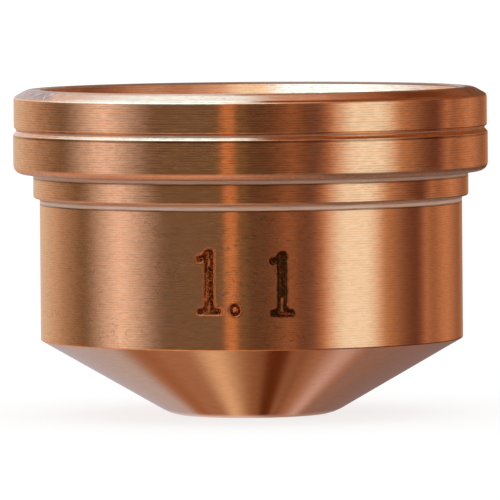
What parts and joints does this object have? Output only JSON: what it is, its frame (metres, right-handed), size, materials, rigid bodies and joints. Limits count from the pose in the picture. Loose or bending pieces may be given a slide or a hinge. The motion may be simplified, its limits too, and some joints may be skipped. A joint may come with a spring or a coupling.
{
  "type": "plasma torch nozzle",
  "caption": "Turned copper plasma torch nozzle: an open cup with a grooved flange, a conical end and a fine arc bore through its flat tip.",
  "frame": {"origin": "centre of the flat tip, where the arc bore comes out", "axes": "+Z along the nozzle's axis, from the tip up to the open rim; -Y faces the viewer of the picture, where the bore size is marked"},
  "size_m": [0.02, 0.02, 0.0137],
  "materials": {
    "turned_copper": "bright fine-turned copper with visible tool marks round the axis"
  },
  "bodies": {
    "root": {"nozzle": "turned_copper"}
  },
  "joints": []
}
